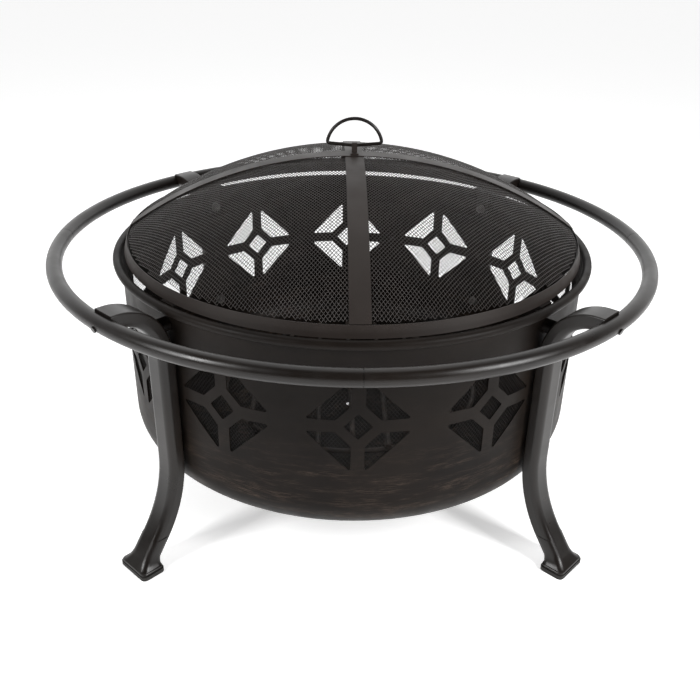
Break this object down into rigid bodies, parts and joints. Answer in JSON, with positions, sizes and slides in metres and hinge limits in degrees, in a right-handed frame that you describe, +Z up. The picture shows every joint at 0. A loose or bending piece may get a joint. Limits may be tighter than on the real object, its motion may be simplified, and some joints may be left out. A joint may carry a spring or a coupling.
{
  "type": "fire pit with spark screen and grate",
  "caption": "Round wood-burning fire pit: pierced deep bowl on curved legs inside a tubular ring, with a domed mesh spark screen and a log grate.",
  "frame": {"origin": "on the ground, on the bowl's axis", "axes": "+Z up along the bowl's axis; -Y is the front, the side the picture shows; legs at 45 degrees to X and Y"},
  "size_m": [0.914, 0.914, 0.5828],
  "materials": {
    "bronze_paint": "satin rubbed dark bronze",
    "bronze_trim": "satin",
    "mesh_wire": "satin",
    "zinc_steel": "satin",
    "rubber": "matt",
    "grate_iron": "matt"
  },
  "bodies": {
    "base": {"bowl": "bronze_paint", "mesh_liner": "mesh_wire", "liner_pads": "bronze_paint", "ring_segment_front_right": "bronze_paint", "ring_segment_back_right": "bronze_paint", "ring_segment_back_left": "bronze_paint", "ring_segment_front_left": "bronze_paint", "leg_front_left": "bronze_paint", "leg_front_right": "bronze_paint", "leg_back_right": "bronze_paint", "leg_back_left": "bronze_paint", "foot_front_left": "bronze_paint", "foot_front_right": "bronze_paint", "foot_back_right": "bronze_paint", "foot_back_left": "bronze_paint", "foot_glides": "rubber", "hook_plugs": "bronze_paint", "ring_bolts": "bronze_paint", "leg_bolts": "zinc_steel", "leg_washers": "zinc_steel", "leg_spacers": "bronze_paint", "leg_nuts": "zinc_steel", "screen_rests": "bronze_paint"},
    "screen": {"screen_mesh": "mesh_wire", "screen_band": "bronze_trim", "screen_clamp_ring": "bronze_trim", "strap_front_back": "bronze_trim", "strap_left_right": "bronze_trim", "strap_rivets": "bronze_trim", "handle_loop": "bronze_paint", "handle_clip": "bronze_trim", "handle_bolt": "zinc_steel", "handle_nut": "zinc_steel"},
    "log_grate": {"grate_ring": "grate_iron", "grate_bars": "grate_iron", "grate_feet": "grate_iron"}
  },
  "joints": [
    {"name": "screen_lift", "type": "slide", "parent": "base", "child": "screen", "axis": [0, 0, 1], "range_m": [0, 0.3]},
    {"name": "grate_lift", "type": "slide", "parent": "base", "child": "log_grate", "axis": [0, 0, 1], "range_m": [0, 0.31]}
  ]
}
